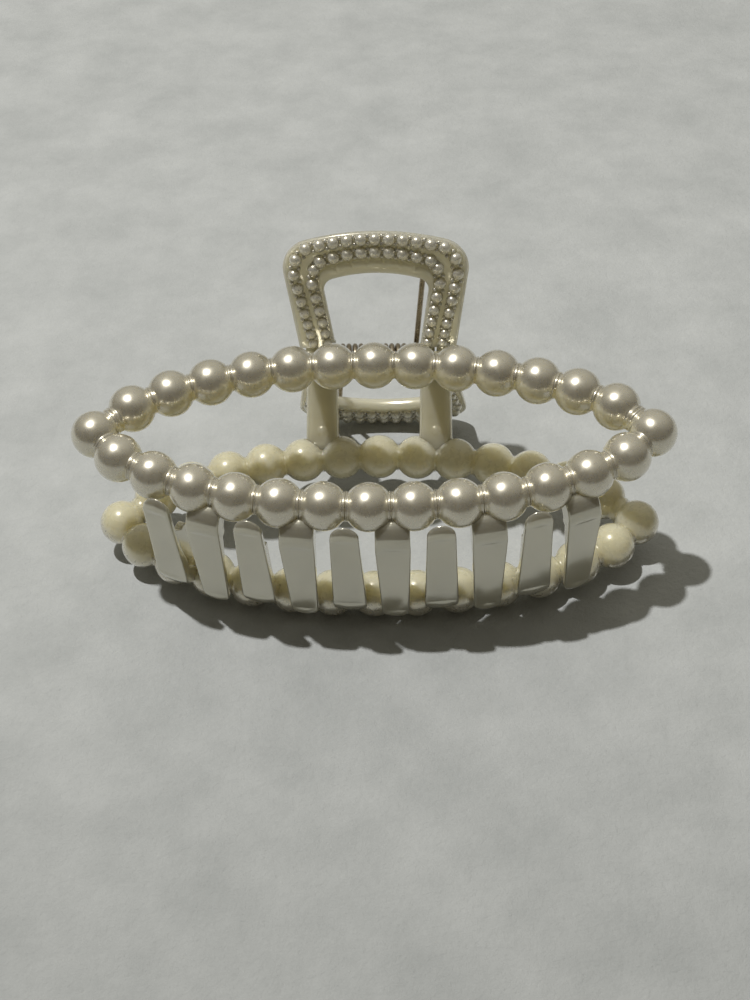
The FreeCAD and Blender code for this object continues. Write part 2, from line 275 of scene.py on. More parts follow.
def bead_centres():
    """Front row, right end, back row and left end: anticlockwise seen from above."""
    middle_y = (BACK_ROW_Y + FRONT_ROW_Y) / 2
    front = row_of_beads(FRONT_ROW_Y, 1, FRONT_PITCH)
    back = row_of_beads(BACK_ROW_Y, -1, BACK_PITCH)
    right_end = Vector((LOOP_HALF_LENGTH, middle_y, LOOP_Z))
    left_end = Vector((-LOOP_HALF_LENGTH, middle_y, LOOP_Z))
    return front + [right_end] + back[::-1] + [left_end]


CHAIN_SEGMENTS = 48
BEAD_RINGS = 20
NECK_R = 2.3                  # radius of the circle where a bead meets its collar
# A collar's profile as (share of its length, height over the neck circle): a ring, a groove, a ring
COLLAR_RINGS = ((0.10, 0.10), (0.24, 0.24), (0.36, 0.20), (0.45, -0.10), (0.5, -0.38),
                (0.55, -0.10), (0.64, 0.20), (0.76, 0.24), (0.90, 0.10))
LACQUER_UP = 0.85             # the pearl lacquer lies on the upper and outward sides of the chain
LACQUER_OUT = 0.5
LACQUER_EDGE = 0.3             # half width of the soft border between lacquer and bare plastic
INNER_SADDLE = 0.1            # how far the plain inner half of a collar dips below the neck circle


def chain_ring(centre, forward, radius_at):
    """A ring round the chain: angle 0 points outward from the loop, a quarter turn on points up."""
    outward = forward.cross(UP).normalized()
    points = []
    for i in range(CHAIN_SEGMENTS):
        angle = 2 * math.pi * i / CHAIN_SEGMENTS
        direction = outward * math.cos(angle) + UP * math.sin(angle)
        points.append(centre + direction * radius_at(angle))
    return points


def lacquered_side(angle):
    """1 on the clip's outside, 0 on the side that faces the other jaw."""
    side = LACQUER_UP * math.sin(angle) + LACQUER_OUT * math.cos(angle)
    return smoothstep(-LACQUER_EDGE, LACQUER_EDGE, side)


def bead_sections(centre, entering, leaving):
    """Rings over one bead; their axis turns from the entering to the leaving direction."""
    first_polar = math.asin(NECK_R / BEAD_R)
    sections = []
    for k in range(BEAD_RINGS + 1):
        share = k / BEAD_RINGS
        polar = mix(first_polar, math.pi - first_polar, share)
        forward = entering.slerp(leaving, smoothstep(0, 1, share))
        middle = centre - forward * (BEAD_R * math.cos(polar))
        sections.append(chain_ring(middle, forward, lambda angle, p=polar: BEAD_R * math.sin(p)))
    return sections


def collar_sections(start, end, forward):
    """The neck between two beads: two fine rings and a groove outside, a plain saddle inside."""
    sections = []
    for share, rise in COLLAR_RINGS:
        saddle = -INNER_SADDLE * math.sin(math.pi * share)

        def radius(angle, rise=rise, saddle=saddle):
            return NECK_R + mix(saddle, rise, lacquered_side(angle))
        sections.append(chain_ring(start.lerp(end, share), forward, radius))
    return sections


def bead_chain(bm):
    centres = bead_centres()
    count = len(centres)
    forwards = [(centres[(i + 1) % count] - centres[i]).normalized() for i in range(count)]
    reach = math.sqrt(BEAD_R ** 2 - NECK_R ** 2)
    sections = []
    owners = []
    for i in range(count):
        bead = bead_sections(centres[i], forwards[i - 1], forwards[i])
        start = centres[i] + forwards[i] * reach
        end = centres[(i + 1) % count] - forwards[i] * reach
        collar = collar_sections(start, end, forwards[i])
        sections += bead + collar
        owners += [centres[i]] * len(bead) + [None] * len(collar)
    lacquer = bm.verts.layers.float.new("lacquer")
    rings = loft(bm, sections, closed=True)
    loop_middle = Vector((0, (BACK_ROW_Y + FRONT_ROW_Y) / 2, LOOP_Z))
    for ring, owner in zip(rings, owners):
        for i, vert in enumerate(ring):
            if owner is None:
                vert[lacquer] = lacquered_side(2 * math.pi * i / CHAIN_SEGMENTS)
                continue
            normal = (vert.co - owner).normalized()
            away = owner - loop_middle
            away.z = 0
            side = LACQUER_UP * normal.z + LACQUER_OUT * normal.dot(away.normalized())
            vert[lacquer] = smoothstep(-LACQUER_EDGE, LACQUER_EDGE, side)


# ---------------------------------------------------------------- teeth
ROUND_POINTS = 5              # points in each rounded corner of a section
TOOTH_EDGE_R = 0.32
SHOULDER_DROP = 5.0           # loop plane to where the shoulder meets the flat face
SHOULDER_TOP = (-1.0, -0.6)    # (y, z) where the shoulder leaves the bead row
# Its middle, behind the flat face and below the loop plane; the CAD's shoulder swells less
SHOULDER_MID = (1.0, 1.5)
SHOULDER_CROWN = 0.6
SHOULDER_STEPS = 16
ROOT_BACK = (-0.6, -2.4)      # (y, z) of the back of the first section
ROOT_PINCH = 0.1              # a tooth is this much narrower per side where it starts
FILLET_T = 0.75               # at the shoulder the back stands this far behind its nominal place ...
PLATE_T = 0.1                 # ... and lower down this far
BACK_LAG = 1.4                # the back of a section lies this much lower than its front at the shoulder
PLATE_SHARES = (0.006, 0.1, 0.2, 0.3, 0.4, 0.5, 0.6, 0.75, 0.9, 0.992, 1)
TIP_RISE = 2.8                # height over which the tip rounds off
TIP_STEPS = 14
TIP_BULGE = 0.16              # the tip swells a little in front of the flat face ...
TIP_BEND = 0.98               # ... and then bends back by this
TIP_CROWN = 0.6
TIP_THIN = 0.06               # the tip's back comes forward by this
TIP_POWER = 2.3               # roundness of the tip seen from the front
TIP_LEAST_HALF = 0.12


def rounded_outline(half_x, half_n, radius, front_steps=1):
    """Points (x, n) round a rectangle with rounded corners; its front (n > 0) is split into steps."""
    radius = min(radius, half_x * 0.98, half_n * 0.98)
    reach_x = half_x - radius
    reach_n = half_n - radius
    points = []
    for quarter, (sx, sn) in enumerate(((1, 1), (-1, 1), (-1, -1), (1, -1))):
        for k in range(ROUND_POINTS):
            angle = math.pi / 2 * (quarter + k / (ROUND_POINTS - 1))
            points.append((sx * reach_x + radius * math.cos(angle), sn * reach_n + radius * math.sin(angle)))
        if quarter == 0:
            points += [(mix(reach_x, -reach_x, k / front_steps), half_n) for k in range(1, front_steps)]
    return points


def tooth_ring(front, behind, half, crown):
    """A section of a tooth; crown is how far its front drops back from the middle to the sides."""
    depth = front - behind
    half_n = depth.length / 2
    n_dir = depth.normalized()
    middle = (front + behind) / 2
    ring = []
    for x, n in rounded_outline(half, half_n, TOOTH_EDGE_R, front_steps=8):
        front_share = smoothstep(-1, 1, n / half_n)
        ring.append(middle + RIGHT * x + n_dir * (n - crown * front_share * (x / half) ** 2))
    return ring


def arc_points(start, middle, end, steps):
    """Points on the circle from start through middle to end, turning anticlockwise."""
    (ax, ay), (bx, by), (cx, cy) = start, middle, end
    a2, b2, c2 = ax ** 2 + ay ** 2, bx ** 2 + by ** 2, cx ** 2 + cy ** 2
    double_area = 2 * (ax * (by - cy) + bx * (cy - ay) + cx * (ay - by))
    ox = (a2 * (by - cy) + b2 * (cy - ay) + c2 * (ay - by)) / double_area
    oy = (a2 * (cx - bx) + b2 * (ax - cx) + c2 * (bx - ax)) / double_area
    radius = math.hypot(ax - ox, ay - oy)
    first = math.atan2(ay - oy, ax - ox)
    turn = (math.atan2(cy - oy, cx - ox) - first) % (2 * math.pi)
    angles = [first + turn * k / steps for k in range(steps + 1)]
    return [(ox + radius * math.cos(angle), oy + radius * math.sin(angle)) for angle in angles]


def tooth_sections():
    """Sections (front point, back point, half width, crown) from the root over the shoulder to the tip."""
    rows = []
    face = -TOOTH_FACE
    back = -TOOTH_BACK
    middle = (face + SHOULDER_MID[0], -SHOULDER_MID[1])
    shoulder = arc_points(SHOULDER_TOP, middle, (face, -SHOULDER_DROP), SHOULDER_STEPS)
    for k, (y, z) in enumerate(shoulder):
        share = k / SHOULDER_STEPS
        behind = Vector((0, mix(ROOT_BACK[0], back + FILLET_T, share),
                         mix(ROOT_BACK[1], -SHOULDER_DROP - BACK_LAG, share)))
        half = TOOTH_ROOT_W / 2 - ROOT_PINCH * (1 - share)
        rows.append((Vector((0, y, z)), behind, half, SHOULDER_CROWN * (1 - share ** 3)))
    shaft_end = TIP_RISE - TOOTH_REACH
    for share in PLATE_SHARES:
        z = mix(-SHOULDER_DROP, shaft_end, share)
        thick = mix(FILLET_T, PLATE_T, smoothstep(0, 0.5, share))
        behind = Vector((0, back + thick, mix(z - BACK_LAG, z, smoothstep(0, 0.6, share))))
        rows.append((Vector((0, face, z)), behind, mix(TOOTH_ROOT_W, TOOTH_TIP_W, share) / 2, 0))
    for k in range(1, TIP_STEPS + 1):
        share = math.sin(math.pi / 2 * k / TIP_STEPS)
        z = shaft_end - TIP_RISE * share
        lean = TIP_BEND * share ** 4 - TIP_BULGE * math.sin(math.pi * share)
        front = Vector((0, face + lean, z))
        behind = Vector((0, back + PLATE_T - TIP_THIN * share ** 3, z))
        half = max(TOOTH_TIP_W / 2 * math.sqrt(max(1 - share ** TIP_POWER, 0)), TIP_LEAST_HALF)
        rows.append((front, behind, half, TIP_CROWN * min(share, (front - behind).length)))
    return rows


WEB_EMBED = 0.4               # the web reaches this far into the plate
WEB_NOSE_R = 1.1
WEB_NOSE_START = -125         # degrees at which the nose's arc begins; it ends at 0
WEB_NOSE_STEPS = 8
WEB_TOP_FRONT = (-2.0, -3.2)  # stays inside the shoulder
WEB_PLATE_TOP = -7.0
WEB_FOOT_DROP = 4.2           # the web runs out on the plate this far below its nose
WEB_TOP_BACK = -2.1
# The web's rounded rim as (distance in from its side face, how far the outline is drawn in)
WEB_RIM = ((0, 0.28), (0.1, 0.08), (0.3, 0))


def web_outline():
    """Side view of the web behind a tooth, as points (y, z)."""
    plate = -TOOTH_BACK - WEB_EMBED
    nose_y = WEB_DEPTH - WEB_NOSE_R
    nose_z = -WEB_NOSE + WEB_NOSE_R
    points = [WEB_TOP_FRONT, (plate, WEB_PLATE_TOP), (plate, -WEB_NOSE - WEB_FOOT_DROP)]
    for k in range(WEB_NOSE_STEPS + 1):
        angle = math.radians(mix(WEB_NOSE_START, 0, k / WEB_NOSE_STEPS))
        points.append((nose_y + WEB_NOSE_R * math.cos(angle), nose_z + WEB_NOSE_R * math.sin(angle)))
    points.append((WEB_DEPTH, WEB_TOP_BACK))
    return points


def add_web(bm, matrix):
    """The web: its outline repeated across X, drawn in a little at both sides for rounded rims."""
    outline = web_outline()
    count = len(outline)
    middle = Vector((sum(p[0] for p in outline) / count, sum(p[1] for p in outline) / count))
    half = WEB_T / 2
    sections = []
    left_rim = [(-half + inward, inset) for inward, inset in WEB_RIM]
    for x, inset in left_rim + [(-x, inset) for x, inset in reversed(left_rim)]:
        ring = []
        for y, z in outline:
            pull = (middle - Vector((y, z))).normalized() * inset
            ring.append(matrix @ Vector((x, y + pull.x, z + pull.y)))
        sections.append(ring)
    loft(bm, sections)


def tooth_matrices():
    row = row_of_beads(FRONT_ROW_Y, 1, FRONT_PITCH)
    for gap in TOOTH_GAPS:
        left = row[BEADS_PER_SIDE + gap]
        right = row[BEADS_PER_SIDE + gap + 1]
        across = (right - left).normalized()
        root = (left + right) / 2 + across * (TOOTH_SHIFT + TOOTH_SPREAD * gap)
        inward = UP.cross(across)
        basis = Matrix((across, inward, UP)).transposed()
        yield Matrix.Translation(root) @ basis.to_4x4()


def teeth(bm):
    for matrix in tooth_matrices():
        sections = []
        for section in tooth_sections():
            sections.append([matrix @ p for p in tooth_ring(*section)])
        loft(bm, sections)
        add_web(bm, matrix)


# ---------------------------------------------------------------- handle
SIDE_STEPS = 24
CORNER_STEPS = 14
END_STEPS = 60


def handle_point(x, along, out):
    return RIGHT * x + ALONG_HANDLE * along + OUT_OF_HANDLE * out


def half_outline(foot, corner, end_along, radius):
    """Right half of a bow outline, from its foot to the middle of its end: line, corner, end arc."""
    corner_v = Vector(corner)
    up_side = (corner_v - Vector(foot)).normalized()
    sagitta = end_along - corner[1]
    arch_r = (corner[0] ** 2 + sagitta ** 2) / (2 * sagitta)
    arch_middle = Vector((0, end_along - arch_r))
    radial = (corner_v - arch_middle).normalized()
    to_middle = Vector((-radial.y, radial.x))
    turn = up_side.angle(to_middle)
    cut = radius * math.tan(turn / 2)
    start = corner_v - up_side * cut
    half_angle = math.asin(corner[0] / arch_r)
    cut_angle = half_angle - cut / arch_r
    stop = arch_middle + Vector((math.sin(cut_angle), math.cos(cut_angle))) * arch_r
    weight = math.cos(turn / 2)
    points = [Vector(foot).lerp(start, k / SIDE_STEPS) for k in range(SIDE_STEPS)]
    for k in range(CORNER_STEPS):
        s = k / CORNER_STEPS
        a, b, c = (1 - s) ** 2, 2 * s * (1 - s) * weight, s ** 2
        points.append((start * a + corner_v * b + stop * c) / (a + b + c))
    for k in range(END_STEPS + 1):
        angle = cut_angle * (1 - k / END_STEPS)
        points.append(arch_middle + Vector((math.sin(angle), math.cos(angle))) * arch_r)
    return points


def full_outline(half):
    return half + [Vector((-p.x, p.y)) for p in reversed(half[:-1])]


RIM_W = 0.45
RIM_DROP = 0.22               # the outer rim stays below the window's band
SIDE_BAND = 0.7
END_BAND = 2.6
NOTCH_DEPTH = 0.5             # little notches in the end band, between the pearls of the inner row
NOTCH_HALF_W = 0.42
BACK_ROUND = 1.4
BACK_STEPS = 5
WINDOW_WALL = 1.1             # heights at which the rounded back starts, at the window ...
OUTER_WALL = 1.3              # ... and at the outer side
BOW_FOOT = HANDLE_FOOT - 0.1


def band_width(x, edge_share):
    """Width of the smooth band beside the window; its pearl side is notched along the end."""
    width = mix(SIDE_BAND, END_BAND, edge_share)
    phase = (x / END_PITCH - 0.5) % 1.0
    offset = min(phase, 1 - phase) * END_PITCH
    notch = max(1 - offset / NOTCH_HALF_W, 0.0)
    return width - NOTCH_DEPTH * notch * smoothstep(0.8, 1.0, edge_share)


def bow_profile(width, band):
    """The bow's section as (distance from the window's edge, height out of the handle)."""
    floor = HANDLE_OUT - CHANNEL_DEPTH
    far = width - RIM_W
    rim = HANDLE_OUT - RIM_DROP
    rounding = min(BACK_ROUND, width / 2 - 0.1)
    window_edge = [(0, WINDOW_WALL), (0, HANDLE_OUT - 0.4), (0.1, HANDLE_OUT - 0.12), (0.35, HANDLE_OUT)]
    band_step = [(band - 0.2, HANDLE_OUT), (band - 0.04, HANDLE_OUT - 0.08),
                 (band + 0.06, floor + 0.12), (band + 0.22, floor)]
    channel = [((band + far) / 2, floor)]
    rim_step = [(far - 0.22, floor), (far - 0.06, floor + 0.12), (far + 0.04, rim - 0.08), (far + 0.14, rim)]
    outer_edge = [(width - 0.14, rim), (width - 0.03, rim - 0.1), (width, rim - 0.3), (width, OUTER_WALL)]
    points = window_edge + band_step + channel + rim_step + outer_edge
    for k in range(1, BACK_STEPS + 1):
        turn = math.pi / 2 * k / BACK_STEPS
        height = OUTER_WALL - (OUTER_WALL + HANDLE_IN) * math.sin(turn)
        points.append((width - rounding * (1 - math.cos(turn)), height))
    for k in range(BACK_STEPS):
        turn = math.pi / 2 * (1 - k / BACK_STEPS)
        height = WINDOW_WALL - (WINDOW_WALL + HANDLE_IN) * math.sin(turn)
        points.append((rounding * (1 - math.cos(turn)), height))
    return points


def handle_bow(bm):
    outer = full_outline(half_outline((HANDLE_FOOT_W, BOW_FOOT), (HANDLE_CORNER_W, HANDLE_CORNER),
                                      HANDLE_END, HANDLE_CORNER_R))
    inner = full_outline(half_outline((WINDOW_FOOT_W, BOW_FOOT), (WINDOW_CORNER_W, WINDOW_CORNER),
                                      WINDOW_END, WINDOW_CORNER_R))
    sections = []
    for near, far in zip(inner, outer):
        across = far - near
        width = across.length
        across.normalize()
        edge_share = smoothstep(0.35, 0.95, across.y)
        profile = bow_profile(width, band_width(near.x, edge_share))
        ring = []
        for distance, height in profile:
            p = near + across * distance
            ring.append(handle_point(p.x, p.y, height))
        sections.append(ring)
    loft(bm, sections)


OUTER_ROW = dict(end=24.6, corner=20.8, foot_x=11.5, arch_r=42.0, end_count=11, side_count=7)
INNER_ROW = dict(end=22.2, corner=19.0, foot_x=8.75, arch_r=27.0, end_count=9, side_count=6)
ROW_FLARE = 0.2               # a side row moves out by this per millimetre along the handle
SIDE_PITCH = 2.85             # spacing at the top of a side row ...
SIDE_PITCH_STEP = 0.17        # ... and how much it shrinks with each pearl further down
CORNER_PULL = 1.0             # the corner pearl stands this far in from its side row
PRONG_R = 0.38                # two small prongs stand in each gap between neighbouring pearls
PRONG_ASIDE = 0.72
PRONG_RISE = 0.3


def pearl_row(end, corner, foot_x, arch_r, end_count, side_count):
    """One row as (x, along, radius), from the foot of the right side round to the foot of the left side."""
    side = []
    along = corner
    pitch = SIDE_PITCH
    for step in range(side_count + 1):
        x = foot_x + ROW_FLARE * (along - HANDLE_FOOT)
        if step == 0:
            x -= CORNER_PULL
        side.append((x, along, PEARL_R - PEARL_SHRINK * step))
        along -= pitch
        pitch -= SIDE_PITCH_STEP
    across = []
    for i in range(end_count):
        x = ((end_count - 1) / 2 - i) * END_PITCH
        across.append((x, end - x ** 2 / (2 * arch_r), PEARL_R))
    return side[::-1] + across + [(-x, a, r) for x, a, r in side]


def handle_pearls(bm):
    floor = HANDLE_OUT - CHANNEL_DEPTH
    for row in (pearl_row(**OUTER_ROW), pearl_row(**INNER_ROW)):
        for x, along, radius in row:
            ball(bm, handle_point(x, along, floor + PEARL_RISE), radius, OUT_OF_HANDLE)
        for (xa, aa, ra), (xb, ab, rb) in zip(row, row[1:]):
            share = ra / (ra + rb)
            aside = Vector((ab - aa, xa - xb)).normalized() * PRONG_ASIDE
            for turn in (-1, 1):
                x = mix(xa, xb, share) + turn * aside.x
                along = mix(aa, ab, share) + turn * aside.y
                ball(bm, handle_point(x, along, floor + PRONG_RISE), PRONG_R, OUT_OF_HANDLE, 12, 8)


# ---------------------------------------------------------------- arms
STRUT_CORNER_R = 1.3
ARM_STEPS = 12
ARM_SWELL = 0.35              # an arm grows by this in half thickness ...
ARM_WIDEN = 0.25              # ... and by this in half width towards the bead row
ARM_SHORT = 1.0               # it ends this far short of the middle of the bead row
FOOT_BOSS_R = 2.1             # rounded boss where an arm meets the bead row
FOOT_BOSS_BACK = 4.2
KNUCKLE_OVERLAP = 1.2         # how far the strut between knuckle and arm runs into the arm
KNUCKLE_RIM = 0.25


def block(bm, x_low, x_high, stations, n_of):
    """A rounded bar across X through stations (point, half thickness, extra half width)."""
    middle_x = RIGHT * ((x_low + x_high) / 2)
    sections = []
    for point, half, extra in stations:
        outline = rounded_outline((x_high - x_low) / 2 + extra, half, STRUT_CORNER_R)
        sections.append([point + middle_x + RIGHT * x + n_of * n for x, n in outline])
    loft(bm, sections)


def knuckle(bm, low):
    """The barrel round the pin, with a rounded rim at both ends."""
    rim = KNUCKLE_RIM
    left_rim = [(0, KNUCKLE_R - rim), (rim * 0.3, KNUCKLE_R - rim * 0.3), (rim, KNUCKLE_R)]
    barrel = left_rim + [(KNUCKLE_W - along, radius) for along, radius in reversed(left_rim)]
    lathe(bm, RIGHT * low, RIGHT, barrel, segments=64)


def arm(bm, knuckle_outer):
    """Right arm of the upper jaw: strut from the back row, one knuckle, and the root of the handle."""
    loop_point = Vector((0, BACK_ROW_Y + 0.4, LOOP_Z - 0.3))
    along = loop_point.normalized()
    across = along.cross(RIGHT)
    reach = loop_point.length
    clear = KNUCKLE_R + ROUND_GAP + 0.1
    own_low = BAR_OUTER - KNUCKLE_W if knuckle_outer else BAR_INNER
    own_high = own_low + KNUCKLE_W
    half = ARM_T / 2
    stations = []
    for k in range(ARM_STEPS + 1):
        share = k / ARM_STEPS
        swell = smoothstep(0.55, 0.85, share) * ARM_SWELL
        stations.append((along * mix(clear, reach - ARM_SHORT, share), half + swell, ARM_WIDEN * share))
    block(bm, BAR_INNER, BAR_OUTER, stations, across)
    ball(bm, along * (reach - FOOT_BOSS_BACK) + RIGHT * ((BAR_INNER + BAR_OUTER) / 2), FOOT_BOSS_R)
    bridge = [(along * 0.5, half, 0), (along * (clear + KNUCKLE_OVERLAP), half, 0)]
    block(bm, own_low, own_high, bridge, across)
    depth = (HANDLE_OUT + HANDLE_IN) / 2
    root = OUT_OF_HANDLE * ((HANDLE_OUT - HANDLE_IN) / 2)
    stub = [(root, depth, 0), (root + ALONG_HANDLE * (HANDLE_FOOT + 1.0), depth, 0)]
    block(bm, own_low, own_high, stub, OUT_OF_HANDLE)
    knuckle(bm, own_low)


def arm_object(jaw, side, material):
    """One arm. The lower jaw's half turn swaps its sides, so its arms are drawn on the other side."""
    drawn_side = side if jaw == "upper" else OTHER_SIDE[side]
    bm = bmesh.new()
    arm(bm, knuckle_outer=drawn_side == "right")
    if drawn_side == "left":
        bmesh.ops.scale(bm, vec=(-1, 1, 1), verts=bm.verts)
    piece = make_object(f"{jaw}_strut_{side}", bm, material)
    place(piece, jaw, f"{jaw}_arm_{side}")
    fuse(piece, voxel=0.12, softening=5)


# ---------------------------------------------------------------- pin and spring
def lathe(bm, axis_point, axis, profile, segments=32):
    """A turned piece from (distance along the axis, radius)."""
    across = axis.orthogonal().normalized()
    up = axis.cross(across).normalized()
    sections = [circle(axis_point + axis * d, across, up, r, segments) for d, r in profile]
    loft(bm, sections)


def hinge_pin(bm):
    half = PIN_HALF_LENGTH
    dome = [(0.0, 0.25), (0.05, 0.5), (0.14, 0.72), (0.28, 0.86), (0.45, PIN_R)]
    profile = [(-half + d, r) for d, r in dome] + [(half - d, r) for d, r in reversed(dome)]
    lathe(bm, Vector(), RIGHT, profile)


TURN_STEPS = 40
LEG_STEPS = 12
WIRE_SEGMENTS = 14
WIRE_NIB = 0.12               # length over which each end of the wire tapers


def spring_path():
    """Centre line of the wire: left leg from its tip, the coil, then the right leg to its tip."""
    leg_angle = math.pi / 2 - HANDLE_LEAN + LEG_LEAN
    start_angle = math.pi / 2 - leg_angle
    turns = COIL_TURNS - start_angle / math.pi
    leg = Vector((math.sin(LEG_SPLAY), math.cos(LEG_SPLAY) * math.cos(leg_angle),
                  math.cos(LEG_SPLAY) * math.sin(leg_angle)))
    half_turn = Matrix.Rotation(math.pi, 3, "Y")
    coil = []
    steps = round(turns * TURN_STEPS)
    for k in range(steps + 1):
        share = k / steps
        angle = start_angle + 2 * math.pi * turns * share
        x = mix(-COIL_HALF_LENGTH, COIL_HALF_LENGTH, share)
        coil.append(Vector((x, COIL_R * math.cos(angle), COIL_R * math.sin(angle))))
    right_leg = [coil[-1] + leg * (LEG_LENGTH * (k / LEG_STEPS)) for k in range(1, LEG_STEPS + 1)]
    left_leg = [half_turn @ p for p in reversed(right_leg)]
    return left_leg + coil + right_leg


def spring_wire(bm):
    path = spring_path()
    count = len(path)
    tangents = [(path[min(i + 1, count - 1)] - path[max(i - 1, 0)]).normalized() for i in range(count)]
    across = tangents[0].orthogonal().normalized()
    sections = []
    for i, (point, tangent) in enumerate(zip(path, tangents)):
        across = (across - tangent * across.dot(tangent)).normalized()
        up = tangent.cross(across)
        sections.append(circle(point, across, up, WIRE_R, WIRE_SEGMENTS))
    first, last = path[0], path[-1]
    sections.insert(0, [first.lerp(p, 0.7) - tangents[0] * WIRE_NIB for p in sections[0]])
    sections.append([last.lerp(p, 0.7) + tangents[-1] * WIRE_NIB for p in sections[-1]])
    loft(bm, sections)


# ---------------------------------------------------------------- materials
class Nodes:
    """A small builder for one node material."""

    def __init__(self, name):
        self.material = bpy.data.materials.new(name)
        self.material.use_nodes = True
        self.tree = self.material.node_tree
        self.shader = self.tree.nodes["Principled BSDF"]
        self.place = self.add("ShaderNodeTexCoord").outputs["Object"]

    def add(self, kind, **values):
        node = self.tree.nodes.new(kind)
        for key, value in values.items():
            setattr(node, key, value)
        return node

    def link(self, source, target):
        self.tree.links.new(source, target)

    def set(self, **values):
        for key, value in values.items():
            self.shader.inputs[key.replace("_", " ")].default_value = value

    def noise(self, scale, detail=3.0, roughness=0.5):
        node = self.add("ShaderNodeTexNoise")
        self.link(self.place, node.inputs["Vector"])
        node.inputs["Scale"].default_value = scale
        node.inputs["Detail"].default_value = detail
        node.inputs["Roughness"].default_value = roughness
        return node.outputs["Fac"]

    def spread(self, value, low, high, from_low=0.3, from_high=0.7):
        """Map a 0..1 value onto a range."""
        node = self.add("ShaderNodeMapRange")
        self.link(value, node.inputs["Value"])
        node.inputs["From Min"].default_value = from_low
        node.inputs["From Max"].default_value = from_high
        node.inputs["To Min"].default_value = low
        node.inputs["To Max"].default_value = high
        return node.outputs["Result"]

    def blend(self, share, first, second):
        """Mix two colours, each a tuple or a socket."""
        node = self.add("ShaderNodeMix", data_type="RGBA")
        self.link(share, node.inputs["Factor"])
        for socket, value in ((node.inputs[6], first), (node.inputs[7], second)):
            if isinstance(value, tuple):
                socket.default_value = (*value, 1)
            else:
                self.link(value, socket)
        return node.outputs[2]

    def attribute(self, name):
        return self.add("ShaderNodeAttribute", attribute_name=name).outputs["Fac"]

    def bump(self, height, distance, strength=1.0):
        node = self.add("ShaderNodeBump")
        self.link(height, node.inputs["Height"])
        node.inputs["Distance"].default_value = distance
        node.inputs["Strength"].default_value = strength
        self.link(node.outputs["Normal"], self.shader.inputs["Normal"])


def pearl_material():
    """Cream plastic beads with a pearl lacquer on the clip's outside."""
    n = Nodes("pearl_lacquer")
    cloud = n.spread(n.noise(260, 4), 0, 1)
    lacquer = n.blend(cloud, (0.66, 0.625, 0.52), (0.71, 0.675, 0.57))
    body = n.blend(cloud, (0.62, 0.58, 0.41), (0.66, 0.62, 0.45))
    outside = n.attribute("lacquer")
    n.link(n.blend(outside, body, lacquer), n.shader.inputs["Base Color"])
    n.link(n.spread(outside, 0.05, 0.75, 0, 1), n.shader.inputs["Metallic"])
    n.link(n.spread(outside, 1.0, 0.5, 0, 1), n.shader.inputs["Subsurface Weight"])
    n.link(n.spread(n.noise(900, 2), 0.24, 0.33), n.shader.inputs["Roughness"])
    n.set(Coat_Weight=1.0, Coat_Roughness=0.04, Coat_IOR=1.6,
          Subsurface_Radius=(1.0, 0.93, 0.75), Subsurface_Scale=0.009)
    n.bump(n.noise(180, 2), 0.00001)
    return n.material


def small_pearl_material():
    n = Nodes("small_pearl")
    cloud = n.spread(n.noise(600, 3), 0, 1)
    n.link(n.blend(cloud, (0.70, 0.66, 0.53), (0.76, 0.72, 0.59)), n.shader.inputs["Base Color"])
    n.link(n.spread(n.noise(1500, 2), 0.24, 0.33), n.shader.inputs["Roughness"])
    n.set(Metallic=0.5, Coat_Weight=1.0, Coat_Roughness=0.05, Coat_IOR=1.7, Subsurface_Weight=0.8,
          Subsurface_Radius=(1.0, 0.93, 0.75), Subsurface_Scale=0.004)
    n.bump(n.noise(900, 2), 0.00001)
    return n.material


def plastic_material(name, darker, paler, pearl_share, scatter):
    """Translucent cream plastic with faint clouds under a share of pearl lacquer."""
    n = Nodes(name)
    cloud = n.spread(n.noise(140, 4), 0, 1)
    n.link(n.blend(cloud, darker, paler), n.shader.inputs["Base Color"])
    n.link(n.spread(n.noise(500, 3), 0.16, 0.24), n.shader.inputs["Roughness"])
    n.set(Metallic=pearl_share, Subsurface_Weight=1.0, Subsurface_Radius=(1.0, 0.95, 0.82),
          Subsurface_Scale=scatter, Coat_Weight=1.0, Coat_Roughness=0.04, Coat_IOR=1.6)
    n.bump(n.noise(320, 3), 0.00002)
    return n.material


def wire_material():
    n = Nodes("spring_wire")
    cloud = n.spread(n.noise(700, 4), 0, 1)
    n.link(n.blend(cloud, (0.30, 0.25, 0.18), (0.46, 0.40, 0.31)), n.shader.inputs["Base Color"])
    n.link(n.spread(n.noise(2500, 3), 0.22, 0.42), n.shader.inputs["Roughness"])
    n.set(Metallic=1.0)
    n.bump(n.noise(3000, 2), 0.000006)
    return n.material


def pin_material():
    n = Nodes("pin_steel")
    cloud = n.spread(n.noise(900, 4), 0, 1)
    n.link(n.blend(cloud, (0.45, 0.44, 0.42), (0.58, 0.57, 0.55)), n.shader.inputs["Base Color"])
    n.link(n.spread(n.noise(2500, 3), 0.2, 0.35), n.shader.inputs["Roughness"])
    n.set(Metallic=1.0)
    n.bump(n.noise(3000, 2), 0.000005)
    return n.material


def floor_material():
    """Pale sheet: soft grey clouds, a fine tooth, and painted shade that makes it a little darker towards
    the camera.
    """
    n = Nodes("pale_floor")
    cloud = n.spread(n.noise(55, 8, 0.68), 0, 1, 0.34, 0.66)
    far = n.blend(cloud, (0.46, 0.48, 0.48), (0.56, 0.58, 0.58))
    # The darker near colours and their share along Y are painted shade: a falloff of light painted into the
    # floor's colour towards the camera.
    near = n.blend(cloud, (0.37, 0.386, 0.384), (0.45, 0.466, 0.464))
    split = n.add("ShaderNodeSeparateXYZ")
    n.link(n.place, split.inputs["Vector"])
    distance = n.spread(split.outputs["Y"], 0, 1, -0.11, 0.0)
    n.link(n.blend(distance, near, far), n.shader.inputs["Base Color"])
    n.set(Roughness=0.8)
    n.bump(n.noise(700, 7, 0.7), 0.0004, 1.0)
    return n.material


